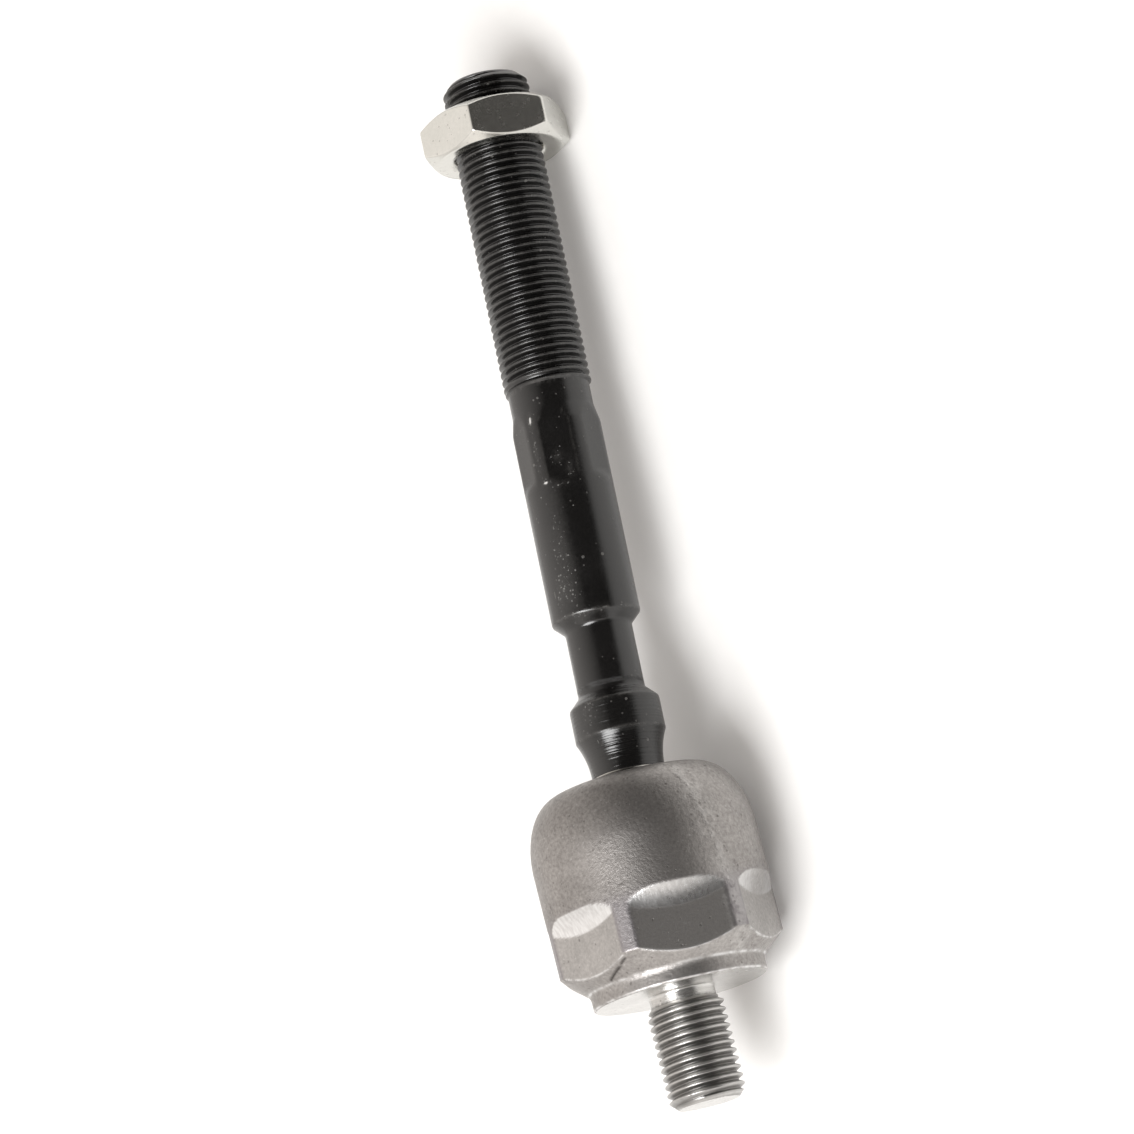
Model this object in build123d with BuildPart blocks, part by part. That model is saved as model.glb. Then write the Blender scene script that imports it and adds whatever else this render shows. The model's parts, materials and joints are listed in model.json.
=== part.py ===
from build123d import *
from math import asin, atan2, cos, degrees, hypot, radians, sin, tan
import os

# Inner tie rod, millimetres. The origin is the middle of the seating face that meets the steering rack.
# The joint lies on its side: +X runs from the seating face to the socket's mouth and on along the rod,
# the rack stud points to -X, and +Z is up. The rod droops until the jam nut rests on the ground.

# Rack stud, M14 x 1.5
stud_thread_d = 14.0
stud_length = 20.3
stud_relief_d = 11.8
stud_relief_width = 1.9
stud_root_fillet = 0.6
stud_tip_chamfer = 1.5

# Seating collar under the socket
collar_d = 31.5
collar_height = 2.75
collar_edge = 0.3
collar_root_fillet = 0.9

# Socket housing, a round forging with six flats pressed into its foot
housing_d = 40.6
housing_height = 38.6
foot_cone_height = 3.95
shoulder_height = 12.6
hex_across_flats = 36.3
hex_turn = -4.0
flat_top = 12.5
scoop_round = 3.9
scoop_sweep = 18.0

# Ball socket
ball_d = 28.0
ball_below_mouth = 11.2
bore_d = 32.1
mouth_d = 26.0
mouth_lip = 1.8
mouth_round = 0.7
seat_fit = 0.05
ball_fit = 0.05
seat_floor_wall = 1.4
seat_mouth_angle = 57.0
seat_slot_count = 6
seat_slot_width = 1.4
seat_slot_depth = 9.0

# Tie rod, distances along its own axis from the ball's centre
neck_d = 13.2
neck_round = 0.9
neck_length = 0.7
stop_d = 16.3
stop_start = 18.55
stop_width = 5.45
groove_d = 12.1
groove_end = 38.6
shank_d = 16.1
shank_end = 76.1
shank_taper = 3.35
flats_start = 65.7
flats_across = 15.1
flats_turn = -18.0
thread_relief_d = 14.9
thread_start = 83.2
rod_thread_d = 16.0
rod_length = 145.1
rod_end_chamfer = 1.4

# Jam nut, M16 x 1.5
nut_across_flats = 24.0
nut_height = 8.0
nut_to_rod_end = 6.5
nut_chamfer_angle = 30.0
nut_thread_fit = 0.05
nut_countersink = 0.7

# Places worked out from the sizes above
housing_r = housing_d / 2
collar_r = collar_d / 2
foot_top = collar_height + foot_cone_height
hex_sides = 6
flat_r = hex_across_flats / 2
scoop_centre = flat_top + scoop_sweep
shoulder_start = housing_height - shoulder_height
lip_height = shoulder_height - mouth_lip
mouth_r = mouth_d / 2
bore_r = bore_d / 2
stud_r = stud_thread_d / 2
stud_relief_r = stud_relief_d / 2
stud_relief_slope = stud_r - stud_relief_r

ball_r = ball_d / 2
ball_height = housing_height - ball_below_mouth
seat_ball_r = ball_r + ball_fit
seat_r = bore_r - seat_fit
seat_floor = ball_height - seat_ball_r - seat_floor_wall
bore_floor = seat_floor - seat_fit
seat_lip_x = shoulder_start + lip_height - seat_fit
seat_mouth_x = ball_height + seat_ball_r * cos(radians(seat_mouth_angle))
seat_mouth_r = seat_ball_r * sin(radians(seat_mouth_angle))

neck_r = neck_d / 2
ball_neck_angle = degrees(asin(neck_r / ball_r))
ball_neck_x = ball_r * cos(radians(ball_neck_angle))
flare_start = ball_neck_x + neck_length
stop_r = stop_d / 2
stop_end = stop_start + stop_width
groove_r = groove_d / 2
groove_start = stop_end + stop_r - groove_r
shank_r = shank_d / 2
thread_relief_r = thread_relief_d / 2
rod_thread_r = rod_thread_d / 2

nut_end = rod_length - nut_to_rod_end
nut_start = nut_end - nut_height
nut_bore_r = rod_thread_r + nut_thread_fit
nut_corner_r = nut_across_flats / 2 / cos(radians(180 / hex_sides))
nut_chamfer_depth = (nut_corner_r - nut_across_flats / 2) * tan(radians(nut_chamfer_angle))

# The droop at which the nut's lower flat touches the ground under the barrel
droop = degrees(asin(housing_r / hypot(nut_end, nut_across_flats / 2)) - atan2(nut_across_flats / 2, nut_end))
rod_way = Vector(cos(radians(droop)), 0, -sin(radians(droop)))
rod_up = Vector(sin(radians(droop)), 0, cos(radians(droop)))
ball_centre = Vector(ball_height, 0, 0)
rod_axis = Axis(ball_centre, rod_way)
rod_side = Plane(origin=ball_centre, x_dir=rod_way, z_dir=(0, -1, 0))


def across_housing(x):
    """The plane across the housing at x, whose first direction is up."""
    return Plane(origin=(x, 0, 0), x_dir=(0, 0, 1), z_dir=(1, 0, 0))


def across_rod(distance):
    """The plane across the rod at a distance from the ball's centre, whose first direction is up."""
    return Plane(origin=ball_centre + rod_way * distance, x_dir=rod_up, z_dir=rod_way)


# Die for one flat, with a round scoop where the flat runs out into the barrel
with BuildPart() as flat_die:
    with BuildSketch(Plane.XY.offset(flat_r)):
        with Locations((scoop_centre / 2, 0)):
            Rectangle(scoop_centre, housing_d)
    extrude(amount=housing_r)
    with BuildSketch(Plane.XZ):
        with BuildLine():
            Polyline(
                (flat_top, flat_r),
                (scoop_centre, flat_r),
                (scoop_centre, flat_r + housing_r),
                (flat_top + scoop_round, flat_r + housing_r),
                (flat_top + scoop_round, flat_r + scoop_round),
            )
            CenterArc((flat_top, flat_r + scoop_round), scoop_round, start_angle=270, arc_size=90)
        make_face()
    revolve(axis=Axis((scoop_centre, 0, 0), (0, 0, 1)), mode=Mode.SUBTRACT)

# Socket housing with its rack stud, one forging
with BuildPart() as housing:
    # Foot with the seating collar, round barrel and the shoulder that is rolled in to the mouth
    with BuildSketch(Plane.XZ):
        with BuildLine():
            Polyline(
                (housing_height, mouth_r),
                (housing_height, 0),
                (0, 0),
                (0, collar_r - collar_edge),
                (collar_edge, collar_r),
                (collar_height, collar_r),
                (foot_top, housing_r),
                (shoulder_start, housing_r),
            )
            EllipticalCenterArc(
                (shoulder_start, mouth_r), shoulder_height, housing_r - mouth_r, start_angle=0, arc_size=90
            )
        make_face()
    revolve(axis=Axis.X)
    collar_root = housing.edges().filter_by(GeomType.CIRCLE).filter_by_position(
        Axis.X, collar_height, collar_height
    )
    fillet(collar_root, radius=collar_root_fillet)
    for flat in range(hex_sides):
        add(flat_die.part, rotation=(hex_turn + flat * 360 / hex_sides, 0, 0), mode=Mode.SUBTRACT)

    # Bore for the ball seat, closed in under the rolled mouth
    with BuildSketch(Plane.XZ):
        with BuildLine():
            Polyline((housing_height, mouth_r), (housing_height, 0), (bore_floor, 0), (bore_floor, bore_r))
            Line((bore_floor, bore_r), (shoulder_start, bore_r))
            EllipticalCenterArc((shoulder_start, mouth_r), lip_height, bore_r - mouth_r, start_angle=0, arc_size=90)
            Line((shoulder_start + lip_height, mouth_r), (housing_height, mouth_r))
        make_face()
    revolve(axis=Axis.X, mode=Mode.SUBTRACT)
    mouth_edge = housing.edges().filter_by(GeomType.CIRCLE).sort_by(Axis.X)[-1]
    fillet(mouth_edge, radius=mouth_round)

    # Rack stud with its relief groove and chamfered tip
    with BuildSketch(Plane.XZ):
        with BuildLine():
            Polyline(
                (0, 0),
                (0, stud_relief_r),
                (-stud_relief_width, stud_relief_r),
                (-stud_relief_width - stud_relief_slope, stud_r),
                (-stud_length + stud_tip_chamfer, stud_r),
                (-stud_length, stud_r - stud_tip_chamfer),
                (-stud_length, 0),
                close=True,
            )
        make_face()
    revolve(axis=Axis.X)
    stud_root = housing.edges().filter_by(GeomType.CIRCLE).filter_by_position(Axis.X, 0, 0).sort_by(SortBy.RADIUS)[0]
    fillet(stud_root, radius=stud_root_fillet)

# Plastic ball seat, a slotted cup that turns in the bore
with BuildPart() as seat:
    with BuildSketch(Plane.XZ):
        with BuildLine():
            Polyline((seat_lip_x, mouth_r), (seat_mouth_x, seat_mouth_r))
            CenterArc(
                (ball_height, 0), seat_ball_r, start_angle=seat_mouth_angle, arc_size=180 - seat_mouth_angle
            )
            Polyline((ball_height - seat_ball_r, 0), (seat_floor, 0), (seat_floor, seat_r), (shoulder_start, seat_r))
            EllipticalCenterArc(
                (shoulder_start, mouth_r), lip_height - seat_fit, seat_r - mouth_r, start_angle=0, arc_size=90
            )
        make_face()
    revolve(axis=Axis.X)
    with BuildSketch(across_housing(seat_lip_x)):
        with PolarLocations(seat_r, seat_slot_count, start_angle=180 / seat_slot_count):
            Rectangle(seat_r, seat_slot_width)
    extrude(amount=-seat_slot_depth, mode=Mode.SUBTRACT)

# Tie rod with its ball, one turned and coined piece
with BuildPart() as rod:
    with BuildSketch(rod_side):
        with BuildLine():
            CenterArc((0, 0), ball_r, start_angle=ball_neck_angle, arc_size=180 - ball_neck_angle)
            Line((ball_neck_x, neck_r), (flare_start, neck_r))
            TangentArc((flare_start, neck_r), (stop_start, stop_r), tangent=(1, 0))
            Polyline(
                (stop_start, stop_r),
                (stop_end, stop_r),
                (groove_start, groove_r),
                (groove_end, groove_r),
                (groove_end + shank_r - groove_r, shank_r),
                (shank_end, shank_r),
                (shank_end + shank_taper, thread_relief_r),
                (thread_start, thread_relief_r),
                (thread_start, rod_thread_r),
                (rod_length - rod_end_chamfer, rod_thread_r),
                (rod_length, rod_thread_r - rod_end_chamfer),
                (rod_length, 0),
                (-ball_r, 0),
            )
        make_face()
    revolve(axis=rod_axis)
    neck_edges = rod.edges().filter_by(lambda edge: edge.geom_type == GeomType.CIRCLE and edge.radius < ball_r)
    fillet(neck_edges.sort_by_distance(ball_centre)[0], radius=neck_round)

    # Wrench flats coined round the end of the shank
    with BuildSketch(across_rod(flats_start)):
        Circle(rod_thread_d)
        RegularPolygon(
            flats_across / 2,
            hex_sides,
            major_radius=False,
            rotation=flats_turn + 180 / hex_sides,
            mode=Mode.SUBTRACT,
        )
    extrude(amount=thread_start - flats_start, mode=Mode.SUBTRACT)

# Jam nut on the rod's thread
with BuildPart() as nut:
    with BuildSketch(across_rod(nut_start)):
        RegularPolygon(nut_across_flats / 2, hex_sides, major_radius=False, rotation=180 / hex_sides)
        Circle(nut_bore_r, mode=Mode.SUBTRACT)
    extrude(amount=nut_height)
    with BuildSketch(rod_side):
        with BuildLine():
            Polyline(
                (nut_start, 0),
                (nut_start, nut_across_flats / 2),
                (nut_start + nut_chamfer_depth, nut_corner_r),
                (nut_end - nut_chamfer_depth, nut_corner_r),
                (nut_end, nut_across_flats / 2),
                (nut_end, 0),
                close=True,
            )
        make_face()
    revolve(axis=rod_axis, mode=Mode.INTERSECT)
    bore_edges = nut.edges().filter_by(GeomType.CIRCLE).group_by(SortBy.RADIUS)[0]
    chamfer(bore_edges, length=nut_countersink)

pieces = {
    "socket_housing": housing,
    "ball_seat": seat,
    "tie_rod": rod,
    "jam_nut": nut,
}
os.makedirs("parts", exist_ok=True)
for name, piece in pieces.items():
    piece.part.label = name
    export_step(piece.part, f"parts/{name}.step")

print(f"rod droop {droop:.3f} degrees, rod way {rod_way.X:.6f}, {rod_way.Z:.6f}")
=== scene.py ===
import json
import math

import bmesh
import bpy
import numpy as np
from bpy.props import FloatProperty, FloatVectorProperty, PointerProperty
from mathutils import Matrix, Vector


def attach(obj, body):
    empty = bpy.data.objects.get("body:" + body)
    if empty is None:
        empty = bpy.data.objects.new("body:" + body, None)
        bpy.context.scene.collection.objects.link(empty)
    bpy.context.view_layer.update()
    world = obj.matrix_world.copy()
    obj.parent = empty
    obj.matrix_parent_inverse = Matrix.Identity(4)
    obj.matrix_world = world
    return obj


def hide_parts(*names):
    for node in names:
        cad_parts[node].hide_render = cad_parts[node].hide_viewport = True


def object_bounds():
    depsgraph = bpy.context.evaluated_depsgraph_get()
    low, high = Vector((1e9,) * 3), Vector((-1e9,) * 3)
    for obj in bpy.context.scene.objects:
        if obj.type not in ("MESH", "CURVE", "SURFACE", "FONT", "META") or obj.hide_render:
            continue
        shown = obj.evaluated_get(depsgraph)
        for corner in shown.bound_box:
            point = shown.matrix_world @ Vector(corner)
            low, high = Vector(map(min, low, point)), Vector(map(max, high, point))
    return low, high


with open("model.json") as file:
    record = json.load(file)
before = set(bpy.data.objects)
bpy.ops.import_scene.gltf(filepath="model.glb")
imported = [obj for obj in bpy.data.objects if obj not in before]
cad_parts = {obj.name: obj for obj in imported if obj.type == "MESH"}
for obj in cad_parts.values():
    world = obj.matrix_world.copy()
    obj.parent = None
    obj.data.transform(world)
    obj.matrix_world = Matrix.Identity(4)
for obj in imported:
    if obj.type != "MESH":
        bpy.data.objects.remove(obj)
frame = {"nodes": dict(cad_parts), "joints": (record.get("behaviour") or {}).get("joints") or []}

bl_info = {
    "name": "Inner tie rod",
    "version": (1, 0, 0),
    "blender": (4, 5, 0),
    "location": "3D View > Sidebar > Tie Rod",
    "description": "An inner tie rod: threaded rod, jam nut, and ball socket with its rack stud",
    "category": "Add Mesh",
}

MM = 0.001
BEYOND = 40 * MM  # A radius outside the whole part
CAD_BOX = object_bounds()
JOINTS = {joint["name"]: joint for joint in frame["joints"]}
BALL_CENTRE = np.array([JOINTS["rod_swing"]["pos_m"][0], 0.0, 0.0])
ROD_WAY = np.array(JOINTS["nut_travel"]["axis"], float)
TOWARDS_VIEWER = np.array([0.0, -1.0, 0.0])
# Axes as (origin, way, up): from the ball's centre, and from the seating face
ROD_AXIS = (BALL_CENTRE, ROD_WAY, np.array([-ROD_WAY[2], 0.0, ROD_WAY[0]]))
HOUSING_AXIS = (np.zeros(3), np.array([1.0, 0.0, 0.0]), np.array([0.0, 0.0, 1.0]))


# Sizes and colours

FROM_BALL = "Measured from the ball's centre"
FROM_FACE = "Measured from the seating face"


def number(name, default, description="", **settings):
    """A number property."""
    return FloatProperty(name=name, description=description, default=default, **settings)


def size(name, millimetres, description=""):
    """A length property, given in millimetres and held in metres."""
    return number(name, millimetres * MM, description, min=0.0, precision=5, unit="LENGTH")


def turn(name, degrees, description=""):
    """An angle property, given in degrees."""
    return number(name, math.radians(degrees), description, subtype="ANGLE")


def colour(name, *linear):
    """A linear colour property."""
    return FloatVectorProperty(name=name, default=linear, min=0.0, max=1.0, subtype="COLOR")


class RodSizes(bpy.types.PropertyGroup):
    ball_d: size("Ball diameter", 28.0)
    neck_d: size("Neck diameter", 13.2)
    neck_length: size("Straight part of the neck", 0.7)
    stop_d: size("Stop collar diameter", 16.3)
    stop_start: size("Start of the stop collar", 19.7, FROM_BALL)
    stop_width: size("Stop collar width", 5.85)
    groove_d: size("Boot groove diameter", 12.1)
    groove_end: size("End of the boot groove", 39.7, FROM_BALL)
    shank_d: size("Shank diameter", 16.1)
    shank_end: size("End of the shank", 77.6, FROM_BALL)
    shank_taper: size("Length of the taper after the shank", 3.2)
    flats_start: size("Start of the wrench flats", 66.1, FROM_BALL)
    flats_across: size("Width across the wrench flats", 15.1)
    flats_turn: turn("Turn of the wrench flats", -18.0, "About the rod's axis")
    relief_d: size("Thread relief diameter", 14.9)
    thread_start: size("Start of the thread", 85.0, FROM_BALL)
    thread_d: size("Thread's outer diameter", 15.96)
    pitch: size("Thread pitch", 1.5)
    length: size("Rod's end", 145.1, FROM_BALL)
    end_chamfer: size("Chamfer on the rod's end", 1.4)


class HousingSizes(bpy.types.PropertyGroup):
    stud_d: size("Stud thread's outer diameter", 13.94)
    stud_length: size("Stud's tip", 20.3, FROM_FACE)
    stud_pitch: size("Stud thread pitch", 1.5)
    stud_relief_d: size("Diameter of the groove at the stud's root", 11.8)
    stud_relief: size("Width of the groove at the stud's root", 1.9)
    stud_chamfer: size("Chamfer on the stud's tip", 1.5)
    collar_d: size("Seating collar diameter", 31.5)
    collar_height: size("Seating collar height", 2.75)
    cone_height: size("Height of the foot cone above the collar", 3.95)
    housing_d: size("Barrel diameter", 40.6)
    height: size("Rolled mouth", 38.6, FROM_FACE)
    shoulder: size("Height of the rolled shoulder", 12.6)
    hex_across: size("Width across the pressed flats", 36.3)
    hex_turn: turn("Turn of the pressed flats", -4.0)
    flat_top: size("Top of the pressed flats", 12.5, FROM_FACE)
    flat_width: size("Width of each pressed flat", 17.1, "Measured square to the axis")
    scoop_round: size("Scoop radius", 8.6, "Radius of the scoop's hollow over each flat")
    scoop_slope: turn("Scoop slope", 11.0, "Angle at which the scoop leaves the flat")
    scoop_sweep: size("Scoop sweep", 26.0, "Radius of the scoop's arc across each flat")
    bore_d: size("Bore diameter", 32.1)
    bore_floor: size("Floor of the bore", 11.9, FROM_FACE)
    mouth_d: size("Mouth diameter", 26.0)
    mouth_lip: size("Thickness of the rolled lip", 1.8)


class NutSizes(bpy.types.PropertyGroup):
    across: size("Width across the flats", 24.0)
    height: size("Height", 8.0)
    to_rod_end: size("Distance to the rod's end", 6.5)
    bore_d: size("Bore diameter", 16.1)
    countersink: size("Countersink at each end of the bore", 0.7)
    face_inset: size("Face inset", 0.45, "How far inside the flats the round end face stops")
    chamfer: turn("Chamfer angle", 35.0)


class Finishes(bpy.types.PropertyGroup):
    coating: colour("Black coating", 0.003, 0.0028, 0.0027)
    dust: colour("Dust and scuffs on the coating", 0.36, 0.35, 0.33)
    # Also the colour of the painted glint on the rod's taper.
    chips: colour("Chips in the coating", 0.78, 0.77, 0.75)
    ball: colour("Polished ball", 0.66, 0.65, 0.62)
    grease: colour("Grease on the ball", 0.42, 0.40, 0.36)
    forging: colour("Forged steel", 0.55, 0.526, 0.508)
    forging_dark: colour("Darker scale on the forging", 0.25, 0.234, 0.224)
    column: colour("Bluish scale between the flats", 0.34, 0.32, 0.35)
    # Also paints shade into the stud thread's roots.
    pit_and_root_shade: colour("Pits and gouges", 0.05, 0.045, 0.04)
    burnished: colour("Burnished scoops and edges", 0.92, 0.92, 0.92)
    machined: colour("Turned steel", 0.84, 0.83, 0.81)
    zinc: colour("Zinc plating", 0.85, 0.84, 0.80)
    soil: colour("Grime on the plating", 0.20, 0.19, 0.17)
    plastic: colour("Plastic ball seat", 0.80, 0.78, 0.70)
    floor: colour("Paper under the part", 0.96, 0.955, 0.945)


class StageSettings(bpy.types.PropertyGroup):
    lens: number("Focal length", 177.67, unit="CAMERA")
    key_power: number("Power of the large soft light", 15.5, unit="POWER")
    ambient: number("Strength of the surrounding light", 0.60, min=0.0)
    glow: number("Floor glow", 0.08, "Extra white of the floor in view", min=0.0)


# Surfaces worked out on grids

ROUND_STEPS = 5  # Steps along each rounded corner of a profile
THREAD_HEIGHT = 0.6134  # Depth of an outer metric thread, over its pitch
THREAD_PHASE = np.array([0.0, 0.07, 0.13, 0.19, 0.31, 0.45, 0.51, 0.56, 0.62, 0.76, 0.88, 0.94])
THREAD_DEPTH = np.array([0.0, 0.0, 0.05, 0.16, 0.55, 0.93, 1.0, 1.0, 0.93, 0.55, 0.16, 0.05])


def smooth_min(first, second, width):
    """The smaller of two values, blended by a parabola of the given width where they cross."""
    share = np.clip(0.5 + 0.5 * (second - first) / width, 0.0, 1.0)
    return second + (first - second) * share - width * share * (1.0 - share)


def rise(value, start, end):
    """Smooth step: 0 at start, 1 at end, with 3t^2 - 2t^3 between."""
    t = np.clip((value - start) / (end - start), 0.0, 1.0)
    return t * t * (3.0 - 2.0 * t)


def hump(distance, width):
    """1 where the distance is 0, falling off as exp(-(distance / width)^2)."""
    return np.exp(-((distance / width) ** 2))


def rounded_path(corners):
    """Profile through (along, radius, rounding) corners.

    Each inner corner P becomes the curve (1-t)^2 A + 2t(1-t) P + t^2 B, where A and B lie the
    rounding's length before and after it, and one more point on the straight run at 1.4 times that
    length holds the shading. No rounding takes up more than 0.45 of its run.
    """
    table = np.array(corners, float)
    points, reach = table[:, :2], table[1:-1, 2:3]
    middle = points[1:-1, None]
    t = np.linspace(0.0, 1.0, ROUND_STEPS + 1)[None, :, None]
    ends, leads = [], []
    for run in (points[:-2] - points[1:-1], points[2:] - points[1:-1]):
        length = np.linalg.norm(run, axis=1, keepdims=True)
        near = np.minimum(reach, 0.45 * length)
        ends.append(middle + (run / length * near)[:, None])
        leads.append(middle + (run / length * np.minimum(near * 1.4, 0.49 * length))[:, None])
    curve = (1 - t) ** 2 * ends[0] + 2 * t * (1 - t) * middle + t**2 * ends[1]
    inner = np.concatenate([leads[0], curve, leads[1]], axis=1).reshape(-1, 2)
    return np.concatenate([points[:1], inner, points[-1:]])


def arc_path(centre, radii, start, end, steps):
    """Ellipse arc: centre + (radii[0] cos a, radii[1] sin a) for a from start to end, in degrees."""
    a = np.radians(np.linspace(start, end, steps + 1))
    return np.stack([centre[0] + radii[0] * np.cos(a), centre[1] + radii[1] * np.sin(a)], axis=1)


def filled_rows(path, spacing, columns):
    """The profile's along and radius values as rows that repeat them for every column.

    Points are added along the profile, so that no step is longer than the spacing.
    """
    path = np.array(path)
    steps = np.linalg.norm(np.diff(path, axis=0), axis=1)
    path = path[np.concatenate([[True], steps > 1e-8])]
    length = np.concatenate([[0.0], np.cumsum(np.linalg.norm(np.diff(path, axis=0), axis=1))])
    pieces = np.maximum(1, np.ceil(np.diff(length) / spacing)).astype(int)
    part = np.repeat(np.arange(len(pieces)), pieces)
    order = np.arange(len(part)) - np.repeat(np.cumsum(pieces) - pieces, pieces)
    at = np.append(length[part] + np.diff(length)[part] * order / pieces[part], length[-1])
    return [np.repeat(np.interp(at, length, path[:, k])[:, None], columns, axis=1) for k in (0, 1)]


def even_angles(columns):
    """Angles at even steps round the axis."""
    return 2.0 * math.pi * np.arange(columns) / columns


def thread_rows(start, end, crest, pitch, limit, fade, columns):
    """Helical thread between two places on the axis: along, radius, and how near the crest it is.

    Row k and column j stand at along = start - pitch + pitch (turns + phase + j / columns), held
    between start and end, so that a row follows the helix. The radius is
    crest - fade(along) THREAD_HEIGHT pitch depth(phase), and no more than limit(along).
    """
    turns = math.ceil((end - start) / pitch) + 2
    phase = (np.arange(turns)[:, None] + THREAD_PHASE).ravel()[:, None]
    depth = np.tile(THREAD_DEPTH, turns)[:, None]
    column = np.arange(columns) / columns
    along = np.clip(start - pitch + pitch * (phase + column), start, end)
    radius = np.minimum(limit(along), crest - fade(along) * THREAD_HEIGHT * pitch * depth)
    return along, radius, np.broadcast_to(1.0 - depth, along.shape)


def hexagon_radius(angles, across, turned, rounding):
    """Distance from the axis to a hexagon with rounded corners: the smooth minimum over its sides of
    (across / 2) / cos(angle to that side's normal)."""
    half = math.pi / 6
    from_flat = (angles - turned + half) % (2 * half) - half
    near = across / 2 / np.cos(from_flat)
    far = across / 2 / np.cos(2 * half - np.abs(from_flat))
    return smooth_min(near, far, rounding)


class Band:
    """A closed band of quads round an axis, with values for each point, which are 0 where not given."""

    def __init__(self, along, radius, angles, shift=0, finish=0, **values):
        self.along, self.radius, self.shift, self.finish = along, radius, shift, finish
        self.angles = np.broadcast_to(angles, along.shape)
        self.values = values

    def value(self, name):
        """The value of that name at each point."""
        return np.broadcast_to(self.values.get(name, 0.0), self.along.shape).ravel()

    def faces(self, first):
        """Quads between neighbouring rows and columns. The last column joins the first, shift rows on."""
        rows, columns = self.along.shape
        index = first + np.arange(rows * columns).reshape(rows, columns)
        inside = np.stack([index[:-1, :-1], index[:-1, 1:], index[1:, 1:], index[1:, :-1]], axis=-1)
        near, far = index[: rows - self.shift, -1], index[self.shift :, 0]
        seam = np.stack([near[:-1], far[:-1], far[1:], near[1:]], axis=-1)
        return np.concatenate([inside.reshape(-1, 4), seam])


def build_piece(name, bands, axis, finishes, sharp=0.7):
    """One closed mesh from bands, welded where they meet. On an axis of (origin, way, up) each point is
    origin + along * way + radius (cos a * up + sin a * TOWARDS_VIEWER)."""
    origin, way, up = axis
    along, radius, angle = (
        np.concatenate([getattr(band, part).ravel() for band in bands])[:, None]
        for part in ("along", "radius", "angles")
    )
    points = origin + along * way + radius * (np.cos(angle) * up + np.sin(angle) * TOWARDS_VIEWER)
    firsts = np.cumsum([0] + [band.along.size for band in bands[:-1]])
    faces = [band.faces(first) for band, first in zip(bands, firsts)]
    finish = np.concatenate([np.full(len(quads), band.finish) for quads, band in zip(faces, bands)])
    mesh = bpy.data.meshes.new(name)
    mesh.from_pydata(points, [], np.concatenate(faces))
    mesh.polygons.foreach_set("material_index", finish.astype(np.int32))
    for value in sorted({value for band in bands for value in band.values}):
        numbers = np.concatenate([band.value(value) for band in bands]).astype(np.float32)
        mesh.attributes.new(value, "FLOAT", "POINT").data.foreach_set("value", numbers)
    work = bmesh.new()
    work.from_mesh(mesh)
    bmesh.ops.remove_doubles(work, verts=work.verts, dist=2e-7)
    bmesh.ops.dissolve_degenerate(work, edges=work.edges, dist=1e-8)
    work.to_mesh(mesh)
    work.free()
    mesh.shade_smooth()
    mesh.set_sharp_from_angle(angle=sharp)
    for finish_name in finishes:
        mesh.materials.append(bpy.data.materials[finish_name])
    piece = bpy.data.objects.new(name, mesh)
    bpy.context.scene.collection.objects.link(piece)
    return piece


# Shader groups and materials

class Graph:
    """Adds nodes to one shader tree, with the outputs of other nodes linked and plain values set."""

    def __init__(self, tree):
        self.tree, self.place, self.shader = tree, None, None

    def fill(self, made, inputs):
        """Sets or links a node's inputs."""
        for key, value in inputs.items():
            if isinstance(value, bpy.types.NodeSocket):
                self.tree.links.new(value, made.inputs[key])
            else:
                made.inputs[key].default_value = value
        return made

    def node(self, kind, inputs=(), **settings):
        """Adds a node of a kind, applies its settings, then fills its inputs."""
        made = self.tree.nodes.new("ShaderNode" + kind)
        for key, value in settings.items():
            setattr(made, key, value)
        return self.fill(made, dict(inputs))

    def maths(self, operation, *values, clamp=False):
        """One Math node's result."""
        return self.node("Math", enumerate(values), operation=operation, use_clamp=clamp).outputs[0]

    def times(self, first, second):
        """first * second"""
        return self.maths("MULTIPLY", first, second)

    def times_plus(self, first, second, third, clamp=False):
        """first * second + third"""
        return self.maths("MULTIPLY_ADD", first, second, third, clamp=clamp)

    def most(self, value, *others):
        """The largest of several values."""
        for other in others:
            value = self.maths("MAXIMUM", value, other)
        return value

    def stretch(self, value, low, high, new_low, new_high):
        """One Map Range node's result, held to the new range."""
        return self.node("MapRange", enumerate((value, low, high, new_low, new_high))).outputs[0]

    def noise(self, place, scale, detail, roughness=0.5):
        """One Noise Texture's value."""
        inputs = {"Vector": place, "Scale": scale, "Detail": detail, "Roughness": roughness}
        return self.node("TexNoise", inputs).outputs[0]

    def mix(self, share, first, second):
        """One colour Mix node's result. Plain colours have three numbers."""
        sockets = [c if isinstance(c, bpy.types.NodeSocket) else (*c, 1.0) for c in (first, second)]
        return self.node("Mix", {0: share, 6: sockets[0], 7: sockets[1]}, data_type="RGBA").outputs[2]

    def layers(self, base, *covers):
        """The base colour with (share, colour) covers mixed over it in turn."""
        for share, cover in covers:
            base = self.mix(share, base, cover)
        return base

    def value(self, name):
        """One of the piece's own values, such as how near an edge a point is."""
        return self.node("Attribute", attribute_name=name).outputs["Fac"]

    def group(self, name, **inputs):
        """A shared group's outputs, in Object coordinates unless it is given others."""
        made = self.node("Group", node_tree=bpy.data.node_groups[name])
        if "Vector" in made.inputs:
            inputs = {"Vector": self.place, **inputs}
        return self.fill(made, inputs).outputs

    def mask(self, name, **inputs):
        """A shared group's first output."""
        return self.group(name, **inputs)[0]

    def surface(self, base, rough, height, strength, distance):
        """Feeds the shader's Base Color, its Roughness and, through a Bump node, its Normal."""
        bump = self.node("Bump", {"Height": height, "Strength": strength, "Distance": distance})
        self.fill(self.shader, {"Base Color": base, "Roughness": rough, "Normal": bump.outputs[0]})


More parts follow.
